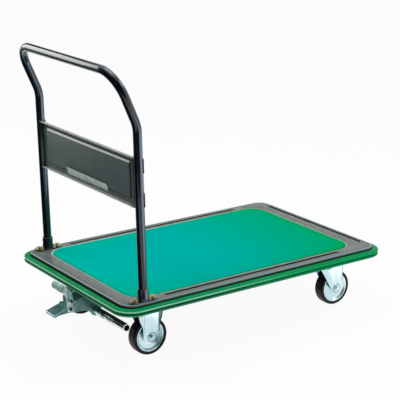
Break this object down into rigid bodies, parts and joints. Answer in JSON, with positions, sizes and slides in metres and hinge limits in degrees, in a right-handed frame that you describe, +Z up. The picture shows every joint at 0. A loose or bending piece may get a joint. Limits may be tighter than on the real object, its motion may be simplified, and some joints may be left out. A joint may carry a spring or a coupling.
{
  "type": "platform hand truck",
  "caption": "Flat steel platform truck on casters, with a bent tube push handle, a rubber deck mat, a rubber bumper and a foot-operated wheel brake.",
  "frame": {"origin": "on the floor, under the centre of the truck's bounding box", "axes": "+Z up, +X along the deck from the handle end to the swivel caster end, +Y to the left of someone who pushes it"},
  "size_m": [1.1476, 0.7138, 0.9713],
  "materials": {
    "deck_paint": "satin grey paint",
    "deck_mat": "ribbed-free teal green rubber, matt",
    "bumper": "green moulded rubber, satin",
    "black_paint": "gloss black paint",
    "panel_paint": "satin dark grey-green paint",
    "label": "pale plain film",
    "bright_zinc": "bright zinc plating",
    "yellow_zinc": "yellow zinc plating",
    "tyre": "smooth black rubber",
    "pedal_paint": "dark teal paint",
    "dark_steel": "dark primer"
  },
  "bodies": {
    "chassis": {"brake_bracket": "dark_steel", "bumper": "bumper", "centre_channel": "dark_steel", "cross_channel_front": "dark_steel", "cross_channel_rear": "dark_steel", "deck_mat": "deck_mat", "deck_pan": "deck_paint", "fixed_axle_bolt_left": "bright_zinc", "fixed_axle_bolt_right": "bright_zinc", "fixed_fork_left": "bright_zinc", "fixed_fork_right": "bright_zinc", "fixed_sleeve_left": "dark_steel", "fixed_sleeve_right": "dark_steel", "handle_panel": "panel_paint", "handle_tube": "black_paint", "leg_socket_left": "black_paint", "leg_socket_right": "black_paint", "panel_label": "label", "socket_bolt_left_front": "yellow_zinc", "socket_bolt_left_rear": "yellow_zinc", "socket_bolt_right_front": "yellow_zinc", "socket_bolt_right_rear": "yellow_zinc", "swivel_plate_left": "bright_zinc", "swivel_plate_right": "bright_zinc"},
    "brake_lever": {"brake_bar": "bright_zinc", "brake_plate_left": "pedal_paint", "brake_plate_right": "pedal_paint", "brake_shaft": "bright_zinc", "lock_pedal": "pedal_paint"},
    "release_lever": {"release_lever": "bright_zinc", "release_pin": "bright_zinc", "release_tie_bolt": "bright_zinc"},
    "fixed_wheel_left": {"fixed_rim_left": "bright_zinc", "fixed_tyre_left": "tyre"},
    "swivel_left": {"swivel_fork_left": "bright_zinc", "swivel_axle_bolt_left": "bright_zinc", "swivel_sleeve_left": "dark_steel"},
    "swivel_wheel_left": {"swivel_rim_left": "bright_zinc", "swivel_tyre_left": "tyre"},
    "fixed_wheel_right": {"fixed_rim_right": "bright_zinc", "fixed_tyre_right": "tyre"},
    "swivel_right": {"swivel_fork_right": "bright_zinc", "swivel_axle_bolt_right": "bright_zinc", "swivel_sleeve_right": "dark_steel"},
    "swivel_wheel_right": {"swivel_rim_right": "bright_zinc", "swivel_tyre_right": "tyre"}
  },
  "joints": [
    {"name": "brake_lever_pivot", "type": "hinge", "parent": "chassis", "child": "brake_lever", "pos_m": [-0.41765, 0, 0.168], "axis": [0, -1, 0], "range_deg": [0, 15]},
    {"name": "release_lever_pivot", "type": "hinge", "parent": "brake_lever", "child": "release_lever", "pos_m": [-0.51475, 0, 0.134], "axis": [0, -1, 0], "range_deg": [0, 18]},
    {"name": "fixed_wheel_left_spin", "type": "hinge", "parent": "chassis", "child": "fixed_wheel_left", "pos_m": [-0.33565, 0.2182, 0.0635], "axis": [0, 1, 0], "continuous": true},
    {"name": "swivel_left_turn", "type": "hinge", "parent": "chassis", "child": "swivel_left", "pos_m": [0.41635, 0.2182, 0.172], "axis": [0, 0, 1], "continuous": true},
    {"name": "swivel_wheel_left_spin", "type": "hinge", "parent": "swivel_left", "child": "swivel_wheel_left", "pos_m": [0.44635, 0.2182, 0.0635], "axis": [0, 1, 0], "continuous": true},
    {"name": "fixed_wheel_right_spin", "type": "hinge", "parent": "chassis", "child": "fixed_wheel_right", "pos_m": [-0.33565, -0.2182, 0.0635], "axis": [0, 1, 0], "continuous": true},
    {"name": "swivel_right_turn", "type": "hinge", "parent": "chassis", "child": "swivel_right", "pos_m": [0.41635, -0.2182, 0.172], "axis": [0, 0, 1], "continuous": true},
    {"name": "swivel_wheel_right_spin", "type": "hinge", "parent": "swivel_right", "child": "swivel_wheel_right", "pos_m": [0.44635, -0.2182, 0.0635], "axis": [0, 1, 0], "continuous": true}
  ]
}
